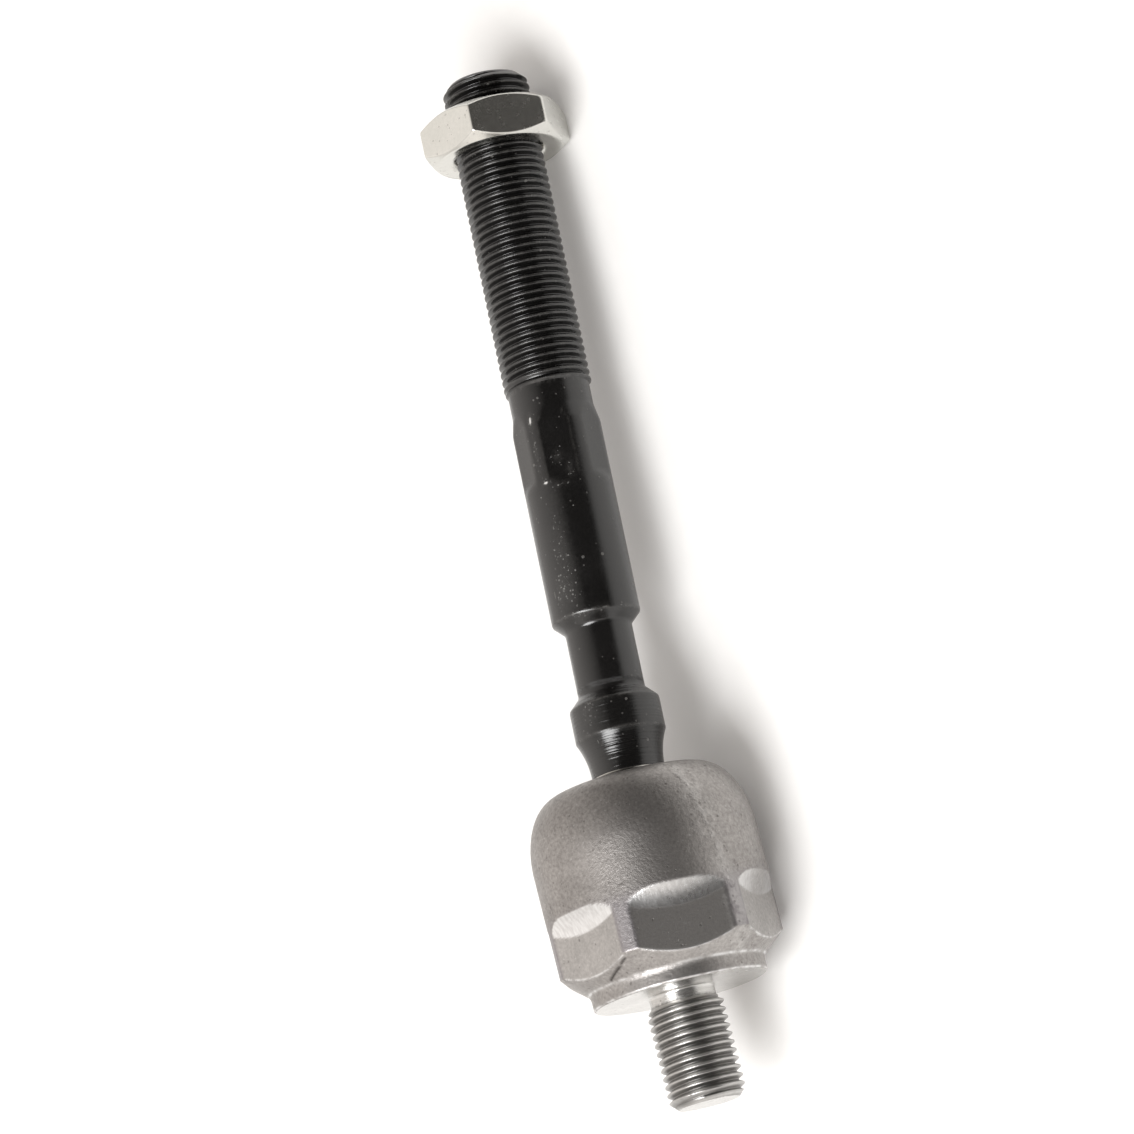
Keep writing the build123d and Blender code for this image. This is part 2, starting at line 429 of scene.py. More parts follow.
def new_group(name, results, **inputs):
    """A shader group's graph, inputs and float results. An input whose default is None is a vector."""
    tree = bpy.data.node_groups.new(name, "ShaderNodeTree")
    for label, default in inputs.items():
        kind = "NodeSocketVector" if default is None else "NodeSocketFloat"
        socket = tree.interface.new_socket(label, in_out="INPUT", socket_type=kind)
        if default is not None:
            socket.default_value = default
    for label in results:
        tree.interface.new_socket(label, in_out="OUTPUT", socket_type="NodeSocketFloat")
    return Graph(tree), tree.nodes.new("NodeGroupInput").outputs, tree.nodes.new("NodeGroupOutput")


def grain_group():
    """Blasted or cast grain: fine noise for the height, fine and broad noise for the tone."""
    graph, given, results = new_group(
        "grain", ["Tone", "Height"], Vector=None, Scale=1500.0, Patches=60.0, Contrast=1.0
    )
    fine = graph.noise(given["Vector"], given["Scale"], 3.0, 0.65)
    broad = graph.noise(given["Vector"], given["Patches"], 5.0, 0.6)
    centred = graph.maths("SUBTRACT", graph.times_plus(broad, 0.5, graph.times(fine, 0.5)), 0.5)
    tone = graph.times_plus(centred, graph.times(given["Contrast"], 2.4), 0.5, clamp=True)
    graph.fill(results, {"Tone": tone, "Height": fine})


def specks_group():
    """Small separate spots: the core of each Voronoi cell whose random value is under the amount."""
    graph, given, results = new_group("specks", ["Mask"], Vector=None, Scale=900.0, Size=0.2, Amount=0.1)
    cells = graph.node("TexVoronoi", {"Vector": given["Vector"], "Scale": given["Scale"]}).outputs
    chance = graph.node("SeparateColor", {0: cells["Color"]}).outputs[0]
    core = graph.maths("LESS_THAN", cells["Distance"], given["Size"])
    graph.fill(results, {"Mask": graph.times(core, graph.maths("LESS_THAN", chance, given["Amount"]))})


def scratches_group():
    """Short straight scratches: spots drawn out into lines by turned and pressed coordinates."""
    graph, given, results = new_group("scratches", ["Mask"], Vector=None, Scale=300.0, Slant=0.4, Amount=0.1)
    slant = graph.node("CombineXYZ", {"Y": given["Slant"], "Z": graph.times(given["Slant"], 0.6)})
    inputs = {"Vector": given["Vector"], "Rotation": slant.outputs[0], "Scale": (0.16, 1.0, 1.0)}
    drawn = graph.node("Mapping", inputs).outputs[0]
    lines = graph.mask("specks", Vector=drawn, Scale=given["Scale"], Size=0.05, Amount=given["Amount"])
    graph.fill(results, {"Mask": lines})


def wear_group():
    """Rubbed edges: the piece's edge value times the amount, broken up by noise."""
    graph, given, results = new_group("edge_wear", ["Mask"], Vector=None, Edge=0.0, Scale=400.0, Amount=1.0)
    broken = graph.stretch(graph.noise(given["Vector"], given["Scale"], 4.0), 0.38, 0.62, 0.15, 1.0)
    strong = graph.times(given["Edge"], given["Amount"])
    graph.fill(results, {"Mask": graph.maths("MULTIPLY", strong, broken, clamp=True)})


def turning_group():
    """Tool marks: noise that changes with one coordinate, such as the distance along the axis."""
    graph, given, results = new_group("turning_marks", ["Height"], Coordinate=0.0, Scale=4000.0)
    inputs = {"W": given["Coordinate"], "Scale": given["Scale"], "Detail": 2.0}
    marks = graph.node("TexNoise", inputs, noise_dimensions="1D")
    graph.fill(results, {"Height": marks.outputs[0]})


def new_material(name, scale, patches, contrast, **constants):
    """A material's graph, with Object coordinates and its Principled BSDF's constants, and its grain's
    tone and height."""
    material = bpy.data.materials.new(name)
    material.use_nodes = True
    graph = Graph(material.node_tree)
    graph.place = graph.node("TexCoord").outputs["Object"]
    graph.shader = graph.tree.nodes["Principled BSDF"]
    graph.fill(graph.shader, {key.replace("_", " "): value for key, value in constants.items()})
    return graph, *graph.group("grain", Scale=scale, Patches=patches, Contrast=contrast)


def coating_material(finish):
    """Semi-gloss black coating with dust, scuffs and paler edges, worn and chipped in places, and a painted
    highlight, a glint, at the first of the rod's marks.
    """
    graph, tone, relief = new_material(
        "black_coating", 1900.0, 110.0, 1.6, Metallic=0.0, Specular_IOR_Level=0.9
    )
    dust = graph.mask("specks", Scale=520.0, Size=0.15, Amount=0.12)
    fine_dust = graph.mask("specks", Scale=1150.0, Size=0.20, Amount=0.10)
    scuffs = graph.mask("scratches", Scale=420.0, Slant=0.5, Amount=0.06)
    wear = graph.mask("edge_wear", Edge=graph.value("edge"), Scale=700.0, Amount=0.6)
    turned = graph.mask("turning_marks", Coordinate=graph.value("run"), Scale=2300.0)
    # This value marks worn places and, at the first rod mark, a painted glint.
    rubbed = graph.value("rubbed")
    chips = graph.mask("specks", Scale=2700.0, Size=0.50, Amount=graph.times(rubbed, 0.52))
    # Solid chip colour where that value is high: bare metal at the strongest chips, and a painted highlight
    # at the glint.
    bare_and_glint = graph.stretch(rubbed, 0.70, 0.90, 0.0, 1.0)
    marked = graph.most(
        graph.times(dust, 0.22),
        graph.times(fine_dust, 0.14),
        graph.times(scuffs, 0.22),
        graph.times(wear, 0.28),
        graph.times(graph.times(rubbed, tone), 0.16),
    )
    chipped = graph.most(graph.times(chips, graph.stretch(tone, 0.35, 0.8, 0.03, 0.20)), bare_and_glint)
    base = graph.mix(tone, finish.coating, 2.2 * np.array(finish.coating))
    base = graph.layers(base, (marked, finish.dust), (chipped, finish.chips))
    rough = graph.times_plus(tone, 0.12, 0.15)
    rough = graph.maths("ADD", rough, graph.times(marked, 0.5), clamp=True)
    height = graph.times_plus(turned, 3.6, graph.times(chips, 0.3))
    height = graph.maths("ADD", height, graph.times_plus(dust, 0.4, graph.times(relief, 0.45)))
    graph.surface(base, rough, height, strength=0.6, distance=0.04 * MM)


def forging_material(finish):
    """Blasted forged steel, with burnished scoops that carry draw marks, bluish columns, smoother flats,
    a rough flash line, dark gouges and worn edges. Painted shade takes most of the burnish off the scoop of
    the flat facing down towards the viewer."""
    graph, tone, relief = new_material("blasted_forging", 1700.0, 80.0, 1.15, Metallic=1.0)
    scoop, pressed = graph.value("scoop"), graph.value("pressed")
    broken = graph.stretch(graph.noise(graph.place, 620.0, 3.0), 0.42, 0.58, 0.0, 1.0)
    flash = graph.times(graph.value("flash"), broken)
    pits = graph.mask("specks", Scale=1100.0, Size=0.26, Amount=graph.times_plus(flash, 0.25, 0.09))
    shifted, drawn = (
        graph.node("Mapping", {"Vector": graph.place, "Scale": scale}).outputs[0]
        for scale in ((1.1, 0.9, 1.0), (0.04, 1.0, 1.0))
    )
    sparks = graph.mask("specks", Vector=shifted, Scale=1300.0, Size=0.24, Amount=0.14)
    edge = graph.mask("edge_wear", Edge=graph.value("edge"), Scale=500.0, Amount=1.5)
    lines = graph.noise(drawn, 1500.0, 3.0)
    base = graph.layers(
        graph.mix(tone, finish.forging_dark, finish.forging),
        (graph.times(graph.value("column"), 0.45), finish.column),
        (graph.times(flash, 0.24), finish.machined),
        (graph.times(pressed, 0.20), finish.machined),
        (graph.times(sparks, 0.18), finish.burnished),
        (graph.times(pits, 0.34), finish.pit_and_root_shade),
        (graph.times(scoop, graph.stretch(lines, 0.35, 0.65, 0.70, 1.0)), finish.burnished),
        (graph.times(edge, 0.75), finish.burnished),
        (graph.value("crevice"), finish.pit_and_root_shade),
    )
    rough = graph.times_plus(scoop, -0.15, graph.times_plus(tone, -0.10, 0.50))
    rough = graph.times_plus(edge, -0.12, rough, clamp=True)
    blasted = graph.times(relief, graph.times_plus(scoop, -0.85, 1.0))
    blasted = graph.times(blasted, graph.times_plus(pressed, -0.5, 1.0))
    height = graph.times_plus(lines, graph.times(scoop, 0.5), blasted)
    height = graph.times_plus(pits, -0.4, graph.times_plus(flash, 0.8, height))
    graph.surface(base, rough, height, strength=0.5, distance=0.14 * MM)


def machined_material(finish):
    """Turned steel: fine rings round the axis, a few nicks, a worn rim, and rougher thread roots darkened by
    painted shade.
    """
    graph, tone, _ = new_material("machined_steel", 900.0, 160.0, 0.9, Metallic=1.0)
    nicks = graph.mask("specks", Scale=800.0, Size=0.2, Amount=0.09)
    rings = graph.mask("turning_marks", Coordinate=graph.value("out"), Scale=5200.0)
    worn = graph.mask("edge_wear", Edge=graph.value("edge"), Scale=900.0, Amount=0.8)
    # In the stud thread this value rises from 0.24 on the crests to 0.66 in the roots, so mixing in the pit
    # colour paints shade into the roots.
    crevice = graph.value("crevice")
    base = graph.layers(
        graph.mix(tone, 0.72 * np.array(finish.machined), finish.machined),
        (graph.times(worn, 0.7), finish.burnished),
        (graph.times(nicks, 0.5), finish.soil),
        (crevice, finish.pit_and_root_shade),
    )
    rough = graph.times_plus(crevice, 0.22, graph.times_plus(tone, -0.10, 0.30), clamp=True)
    graph.surface(base, rough, graph.times_plus(nicks, -0.5, rings), strength=0.25, distance=0.04 * MM)


def zinc_material(finish):
    """Bright zinc plating with slightly darker patches, matt spots, soft grain and handling marks."""
    graph, tone, relief = new_material("zinc_plating", 1300.0, 120.0, 1.0, Metallic=1.0)
    marks = graph.mask("scratches", Scale=520.0, Slant=1.1, Amount=0.20)
    spots = graph.mask("specks", Scale=1500.0, Size=0.34, Amount=0.16)
    soiled = graph.most(graph.times(marks, 0.35), graph.times(spots, 0.22))
    base = graph.mix(tone, np.array(finish.zinc) * (0.86, 0.87, 0.86), finish.zinc)
    dulled = graph.most(graph.times(spots, 0.3), marks)
    rough = graph.times_plus(dulled, 0.35, graph.times_plus(tone, 0.10, 0.16), clamp=True)
    height = graph.times_plus(marks, -0.4, relief)
    graph.surface(graph.mix(soiled, base, finish.soil), rough, height, strength=0.20, distance=0.05 * MM)


def ball_material(finish):
    """Polished ball with a thin smear of grease."""
    graph, tone, relief = new_material("greased_ball", 500.0, 90.0, 1.3, Metallic=1.0)
    base = graph.mix(tone, finish.grease, finish.ball)
    graph.surface(base, graph.times_plus(tone, -0.12, 0.26), relief, strength=0.08, distance=0.04 * MM)


def plastic_material(finish):
    """Moulded seat plastic, darker where grease gathers."""
    graph, tone, relief = new_material("moulded_plastic", 1200.0, 80.0, 1.2, Metallic=0.0)
    base = graph.mix(tone, np.array(finish.plastic) * (0.78, 0.72, 0.60), finish.plastic)
    graph.surface(base, graph.times_plus(tone, 0.2, 0.30), relief, strength=0.15, distance=0.05 * MM)


# Pieces

ROD_COLUMNS = 120
HOUSING_COLUMNS = 216
NUT_SIDE_COLUMNS = 36
# Rubbed places on the rod, the first of them a painted highlight (a glint on the taper past the flats):
# degrees round it, place along it, width, length (mm), and strength
ROD_MARKS_AND_GLINT = (
    (12.0, 78.4, 0.60, 1.4, 1.0),
    (12.0, 71.6, 0.36, 4.2, 0.65),
    (39.0, 70.6, 0.90, 0.9, 0.55),
    (52.0, 67.8, 0.60, 1.3, 0.5),
    (17.0, 66.3, 0.85, 0.7, 1.0),
    (36.0, 65.3, 1.20, 0.5, 0.6),
    (20.0, 54.0, 1.70, 9.0, 0.34),
    (12.0, 46.0, 2.60, 3.4, 0.42),
    (22.0, 41.7, 6.00, 0.4, 0.75),
    (8.0, 23.6, 1.30, 2.2, 0.6),
)
# Gouges in the foot cone: both ends as degrees and mm along, and their width in mm
GOUGES = (((1.0, 3.4), (14.5, 4.9), 0.20), ((16.0, 5.2), (20.7, 5.85), 0.16))


def edge_value(along, places, width):
    """1 at each of the places on the axis, falling to 0 over the width."""
    return hump(np.min(np.abs(along[..., None] - np.array(places)), axis=-1), width)


def rubbed_and_glint_places(along, angles, radius):
    """How rubbed each point is, the painted glint included: the largest of strength * exp(-(around /
    width)^2 - (along / length)^2) over the marks."""
    value = np.zeros(along.shape)
    for degrees, middle, width, length, strength in ROD_MARKS_AND_GLINT:
        around = (angles - math.radians(degrees)) * radius / (width * MM)
        lengthwise = (along - middle * MM) / (length * MM)
        value = np.maximum(value, strength * np.exp(-(around**2) - lengthwise**2))
    return value


def rod_bands(rod):
    """The rod as bands: the ball's arc from its pole, the neck's arc into the stop, rounded straight runs
    with the wrench flats cut in, the helical thread, and the end face."""
    angles = even_angles(ROD_COLUMNS)
    ball, neck, stop, groove = rod.ball_d / 2, rod.neck_d / 2, rod.stop_d / 2, rod.groove_d / 2
    shank, relief, crest = rod.shank_d / 2, rod.relief_d / 2, rod.thread_d / 2
    ball_end = math.degrees(math.asin(neck / ball))
    neck_start = ball * math.cos(math.radians(ball_end))
    sphere = arc_path((0.0, 0.0), (ball, ball), 180.0, ball_end + 2.6, 54)
    flare = neck_start + rod.neck_length
    run, climb = rod.stop_start - flare, stop - neck
    flare_r = (run**2 + climb**2) / (2 * climb)
    sweep = math.degrees(math.asin(run / flare_r))
    neck_arc = arc_path((flare, neck + flare_r), (flare_r, flare_r), -90.0, -90.0 + sweep * 0.985, 16)
    joint = rounded_path([(*sphere[-1], 0.0), (neck_start, neck, 0.6 * MM), (*neck_arc[0], 0.0)])
    stop_end = rod.stop_start + rod.stop_width
    shank_start = rod.groove_end + shank - groove
    soft, inner = 0.35 * MM, 0.5 * MM
    straight = rounded_path([
        (*neck_arc[-1], 0.0),
        (rod.stop_start, stop, soft),
        (stop_end, stop, soft),
        (stop_end + stop - groove, groove, inner),
        (rod.groove_end, groove, inner),
        (shank_start, shank, soft),
        (rod.shank_end, shank, soft),
        (rod.shank_end + rod.shank_taper, relief, soft),
        (rod.thread_start, relief, 0.0),
    ])
    body = np.concatenate([sphere, joint[1:], neck_arc[1:], straight[1:]])
    along, radius = filled_rows(body, 0.9 * MM, ROD_COLUMNS)
    flats = hexagon_radius(angles, rod.flats_across, rod.flats_turn, 0.1 * MM)[None]
    sunk = rise(along, rod.flats_start - 0.5 * MM, rod.flats_start + 0.9 * MM)
    flats = np.where(sunk > 0.0, flats + (1.0 - sunk) * 2.0 * MM, BEYOND)
    cut = smooth_min(radius, flats, 0.10 * MM)
    ridge = hump(np.clip((radius - flats) / (0.12 * MM), -1.0, 1.0), 0.5)
    ridge = ridge * sunk * (along < rod.shank_end + 1.5 * MM)
    lips = edge_value(along, [rod.stop_start, stop_end, shank_start], 0.3 * MM)
    edge = np.maximum(ridge * 0.4, lips * 0.7)
    # The first mark is a painted highlight, a glint, not a rubbed place.
    rubbed = rubbed_and_glint_places(along, angles, shank)
    turned = np.where(along < stop_end + 3.0 * MM, along, 0.0)
    split = int(np.argmax(along[:, 0] > neck_start + 0.1 * MM))
    rest = slice(split, None)
    end, tip = rod.length, crest - rod.end_chamfer

    def limit(place):
        """Radius left by the chamfer at the relief and the one at the rod's end."""
        return np.minimum(relief + (place - rod.thread_start) * 1.2, tip + (end - place))

    def fade(place):
        """The thread starts from nothing over its first turn."""
        return rise(place, rod.thread_start, rod.thread_start + 1.3 * rod.pitch)

    thread = thread_rows(rod.thread_start, end, crest, rod.pitch, limit, fade, ROD_COLUMNS)
    face = rounded_path([(end, tip, 0.0), (end, tip * 0.97, 0.1 * MM), (end, 0.0, 0.0)])
    return [
        Band(along[: split + 1], cut[: split + 1], angles, finish=1),
        Band(along[rest], cut[rest], angles, edge=edge[rest], rubbed=rubbed[rest], run=turned[rest]),
        Band(*thread[:2], angles, shift=len(THREAD_PHASE), edge=thread[2] ** 6 * 0.6),
        Band(*filled_rows(face, 1.5 * MM, ROD_COLUMNS), angles),
    ]


def scooped_radius(along, angles, house):
    """Distance from the axis to the pressed flats, and how far inside a scoop each point is.

    Over the flat's plane the die leaves a height h that rises with the distance i inside the scoop's arc,
    i = sweep - p, where p is the distance from the arc's centre in the plane:
    h = round (cos a0 - cos a), with sin a = sin a0 + i / round, so that its slope starts at the angle a0.
    A wall bounds the flat where the distance from its middle is more than half its width.
    The radius solves r cos(off) = across / 2 + h(p(along, r sin(off))) + wall by repeated substitution.
    """
    half, steepest, wall_slope = math.pi / 6, 0.98, 2.7
    off = (angles - house.hex_turn + half) % (2 * half) - half
    flat, curve, sweep = house.hex_across / 2, house.scoop_round, house.scoop_sweep
    first = math.sin(house.scoop_slope)
    centre = house.flat_top + sweep
    sideways = house.housing_d / 2 * np.sin(np.abs(off))
    wall = wall_slope * np.maximum(sideways - house.flat_width / 2, 0.0)
    radius = np.broadcast_to(flat / np.cos(off), along.shape).copy()
    for _ in range(30):
        inside = np.maximum(sweep - np.hypot(centre - along, radius * np.sin(off)), 0.0)
        lean = first + inside / curve
        height = curve * (math.sqrt(1.0 - first**2) - np.sqrt(1.0 - np.minimum(lean, steepest) ** 2))
        height = np.where((lean > steepest) | (along > centre), BEYOND / 2, height)
        radius = 0.5 * radius + 0.5 * np.minimum((flat + height + wall) / np.cos(off), BEYOND)
    return radius, np.clip(inside / (0.25 * MM), 0.0, 1.0)


def flash_line(along, angles, radius):
    """Rough line that the forging dies leave on both sides: exp(-(d / 2.2 mm)^2), where d is the distance
    round the barrel from a line at 90 degrees that leans back by 0.4 degrees for each millimetre."""
    line = np.radians(90.0 - 0.4 * along / MM)
    away = (angles - line + math.pi / 2) % math.pi - math.pi / 2
    return hump(away * radius, 2.2 * MM)


def gouges(along, angles, radius):
    """Gouges scored on a surface of about the given radius: the largest of exp(-(d / width)^2), where d
    is the distance to each gouge's line on the unrolled surface."""
    place = np.stack(np.broadcast_arrays(angles * radius, along), axis=-1)
    value = np.zeros(along.shape)
    for start, end, width in GOUGES:
        a, b = (np.array([math.radians(turned) * radius, at * MM]) for turned, at in (start, end))
        share = np.clip(((place - a) @ (b - a)) / ((b - a) @ (b - a)), 0.0, 1.0)
        gap = np.linalg.norm(place - a - share[..., None] * (b - a), axis=-1)
        value = np.maximum(value, hump(gap, width * MM))
    return value


def housing_bands(house):
    """The socket housing as bands: stud tip, helical stud thread, relief and seating face, foot with the
    pressed flats, barrel with the rolled mouth, and the bore down to its floor."""
    angles = even_angles(HOUSING_COLUMNS)
    crest, relief, collar = house.stud_d / 2, house.stud_relief_d / 2, house.collar_d / 2
    outer, mouth, bore = house.housing_d / 2, house.mouth_d / 2, house.bore_d / 2
    tip = crest - house.stud_chamfer
    start, end = -house.stud_length, -house.stud_relief
    rim = collar - 0.3 * MM

    def turned(path, spacing):
        """A band of turned steel."""
        along, radius = filled_rows(path, spacing, HOUSING_COLUMNS)
        return Band(along, radius, angles, finish=1, out=radius)

    def limit(place):
        """Radius left by the chamfer at the tip and the slope into the relief."""
        return np.minimum(tip + (place - start), relief + (end - place))

    tip_path = rounded_path([(start, 0.0, 0.0), (start, tip * 0.96, 0.1 * MM), (start, tip, 0.0)])
    thread = thread_rows(start, end, crest, house.stud_pitch, limit, np.ones_like, HOUSING_COLUMNS)
    # Painted shade for the thread roots: 0.24 on the crests, rising to 0.66 in the roots.
    roots = 0.24 + 0.42 * (1.0 - thread[2]) ** 0.5
    stud = Band(*thread[:2], angles, shift=len(THREAD_PHASE), finish=1, crevice=roots, out=thread[0])
    root_path = rounded_path([(end, relief, 0.0), (0.0, relief, 0.6 * MM), (0.0, rim, 0.0)])

    foot_top = house.collar_height + house.cone_height
    shoulder_start = house.height - house.shoulder
    foot = rounded_path([
        (0.0, rim, 0.0),
        (0.3 * MM, collar, 0.15 * MM),
        (house.collar_height, collar, 0.8 * MM),
        (foot_top, outer, 0.25 * MM),
        (shoulder_start - 6.0 * MM, outer, 0.0),
    ])
    along, radius = filled_rows(foot, 0.27 * MM, HOUSING_COLUMNS)
    flats, lifted = scooped_radius(along, angles, house)
    flats = np.where(along < house.collar_height * 0.98, BEYOND, flats)
    sunk = radius - flats
    # Painted shade: the scoop on the flat that faces down towards the viewer, 120 degrees on from the flats'
    # turn, keeps only a quarter of its burnish.
    flat_shade = 0.75 * np.exp(-(((angles - house.hex_turn) / math.radians(60.0) - 2.0) ** 2) / 0.12)
    scoop = lifted * rise(sunk, -0.02 * MM, 0.10 * MM) * (1.0 - flat_shade)
    column = rise(-sunk, -0.15 * MM, 0.1 * MM) * (along > foot_top)
    column = column * rise(along, house.flat_top + 5.5 * MM, house.flat_top + 1.5 * MM)
    pressed = rise(sunk, 0.0, 0.15 * MM) * (1.0 - lifted)
    lower_edge = hump(sunk, 0.16 * MM) * (along < foot_top + 0.4 * MM)
    side_edge = hump(sunk, 0.08 * MM) * (along >= foot_top) * (1.0 - lifted)
    collar_edge = edge_value(along, [0.2 * MM, house.collar_height + 0.2 * MM], 0.22 * MM)
    edge = np.maximum(np.maximum(lower_edge, side_edge * 0.35), collar_edge * 0.8)
    gouged = gouges(along, angles, collar)
    foot_band = Band(
        along,
        smooth_min(radius, flats, 0.20 * MM) - gouged * 0.2 * MM,
        angles,
        edge=edge * (1.0 - gouged),
        scoop=scoop,
        column=column,
        pressed=np.maximum(pressed, 0.15 * (along < foot_top)),
        crevice=gouged * 0.9,
        out=radius,
        flash=flash_line(along, angles, outer) * (1.0 - scoop),
    )
    lip = house.shoulder - house.mouth_lip
    centre, hollow = (shoulder_start, mouth), (lip, bore - mouth)
    barrel = arc_path(centre, (house.shoulder, outer - mouth), 90.0, 6.0, 40)
    lip_turn = rounded_path([
        (*barrel[-1], 0.0),
        (house.height, mouth, 0.75 * MM),
        (shoulder_start + lip, mouth, 0.2 * MM),
        (*arc_path(centre, hollow, 6.0, 6.0, 0)[0], 0.0),
    ])
    floor = [(house.bore_floor, bore), (house.bore_floor, 0.0)]
    inside = [lip_turn[1:], arc_path(centre, hollow, 8.0, 90.0, 16), floor]
    shell = np.concatenate([foot[-1:], barrel, *inside])
    along, radius = filled_rows(shell, 0.8 * MM, HOUSING_COLUMNS)
    return [
        turned(tip_path, 1.2 * MM),
        stud,
        turned(root_path, 0.7 * MM),
        foot_band,
        Band(along, radius, angles, out=radius, flash=flash_line(along, angles, outer)),
    ]


def nut_bands(nut, rod_length):
    """The nut as bands: end face, hexagon with its corners cut by cones, end face, and bore.

    The hexagon's radius is the smooth minimum of the hexagon and the two cones
    across / 2 - inset + (distance to the end face) / tan(chamfer). Columns gather at the corners: each
    sixth of the turn runs as 30 (0.55 sin(t) + 0.45 t / 90) degrees for t from -90 to 90 degrees.
    """
    t = np.radians(np.linspace(-90.0, 90.0, NUT_SIDE_COLUMNS, endpoint=False))
    within = np.radians(30.0) * (0.55 * np.sin(t) + 0.45 * t / (math.pi / 2))
    angles = (np.arange(6)[:, None] * math.pi / 3 + within[None]).ravel()
    columns = len(angles)
    end = rod_length - nut.to_rod_end
    start = end - nut.height
    bore, bevel = nut.bore_d / 2, nut.countersink
    face = nut.across / 2 - nut.face_inset
    close, apart = np.linspace(0.0, 1.5, 26), np.linspace(1.9, nut.height / MM - 1.9, 10)
    depth = np.concatenate([close, apart]) * MM
    depth = np.unique(np.round(np.concatenate([depth, nut.height - depth[: len(close)]]), 8))
    along = np.repeat(start + depth[:, None], columns, axis=1)
    hexagon = hexagon_radius(angles, nut.across, 0.0, 0.30 * MM)[None]
    cones = face + np.minimum(depth, nut.height - depth)[:, None] / math.tan(nut.chamfer)
    sides = smooth_min(np.broadcast_to(hexagon, along.shape), cones, 0.22 * MM)
    sides[0], sides[-1] = face, face
    foot = [(start, bore + bevel), (start, face)]
    top = [(end, face), (end, bore + bevel)]
    hole = [top[1], (end - bevel, bore), (start + bevel, bore), foot[0]]
    foot, top, hole = (Band(*filled_rows(path, 0.9 * MM, columns), angles) for path in (foot, top, hole))
    return [foot, Band(along, sides, angles), top, hole]


def finished(operator, piece, body, node):
    """Hands a finished piece to the frame and ends its operator."""
    if not piece.data.polygons:
        raise RuntimeError(f"{piece.name} has no faces")
    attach(piece, body)
    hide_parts(node)
    operator.report({"INFO"}, f"{piece.name}: {len(piece.data.polygons)} faces")
    return {"FINISHED"}


class TIEROD_OT_finishes(bpy.types.Operator):
    """Makes the shared shader groups and the materials"""

    bl_idname = "tierod.finishes"
    bl_label = "Finishes"

    def execute(self, context):
        for make_group in (grain_group, specks_group, scratches_group, wear_group, turning_group):
            make_group()
        metals = (forging_material, machined_material, zinc_material, ball_material)
        for make_material in (coating_material, plastic_material, *metals):
            make_material(context.scene.tierod_finishes)
        return {"FINISHED"}


class TIEROD_OT_rod(bpy.types.Operator):
    """Makes the tie rod with its ball, wrench flats and helical thread"""

    bl_idname = "tierod.rod"
    bl_label = "Tie rod"

    def execute(self, context):
        bands = rod_bands(context.scene.tierod_rod)
        piece = build_piece("threaded_tie_rod", bands, ROD_AXIS, ["black_coating", "greased_ball"])
        return finished(self, piece, "rod", "tie_rod")


class TIEROD_OT_housing(bpy.types.Operator):
    """Makes the socket housing with its rack stud"""

    bl_idname = "tierod.housing"
    bl_label = "Socket housing"

    def execute(self, context):
        bands = housing_bands(context.scene.tierod_housing)
        piece = build_piece("socket_forging", bands, HOUSING_AXIS, ["blasted_forging", "machined_steel"])
        return finished(self, piece, "housing", "socket_housing")


class TIEROD_OT_nut(bpy.types.Operator):
    """Makes the jam nut on the rod's thread"""

    bl_idname = "tierod.nut"
    bl_label = "Jam nut"

    def execute(self, context):
        bands = nut_bands(context.scene.tierod_nut, context.scene.tierod_rod.length)
        piece = build_piece("zinc_jam_nut", bands, ROD_AXIS, ["zinc_plating"], sharp=0.9)
        return finished(self, piece, "nut", "jam_nut")


class TIEROD_OT_seat(bpy.types.Operator):
    """Gives the plastic ball seat its material"""

    bl_idname = "tierod.seat"
    bl_label = "Ball seat"

    def execute(self, context):
        node = frame["nodes"]["ball_seat"]
        for slot in node.material_slots:
            slot.material = bpy.data.materials["moulded_plastic"]
        return {"FINISHED"}


# Stage

FLOOR_HALF = 1.5
CAMERA_PLACE = (-0.12694240, -0.69396357, 0.69261084)
CAMERA_RIGHT = Vector((-0.24162199, -0.64784282, -0.72243926))
CAMERA_UP = Vector((0.94831284, -0.31548224, -0.03425939))
KEY_PLACE, KEY_TARGET, KEY_SIZE = (-0.62, -0.26, 1.10), (0.06, 0.0, 0.0), (0.62, 0.95)


def key_light(power):
    """The large soft lamp, pointed at the part."""
    lamp = bpy.data.lights.new("key", "AREA")
    lamp.shape = "RECTANGLE"
    lamp.size, lamp.size_y = KEY_SIZE
    lamp.energy = power
    made = bpy.data.objects.new("key", lamp)
    made.location = KEY_PLACE
    made.rotation_euler = (Vector(KEY_TARGET) - made.location).to_track_quat("-Z", "Y").to_euler()
    bpy.context.scene.collection.objects.link(made)


def cleared_graph(holder):
    """A material's or world's graph, without the nodes it came with, and the kinds of ray."""
    holder.use_nodes = True
    holder.node_tree.nodes.clear()
    graph = Graph(holder.node_tree)
    return graph, graph.node("LightPath").outputs


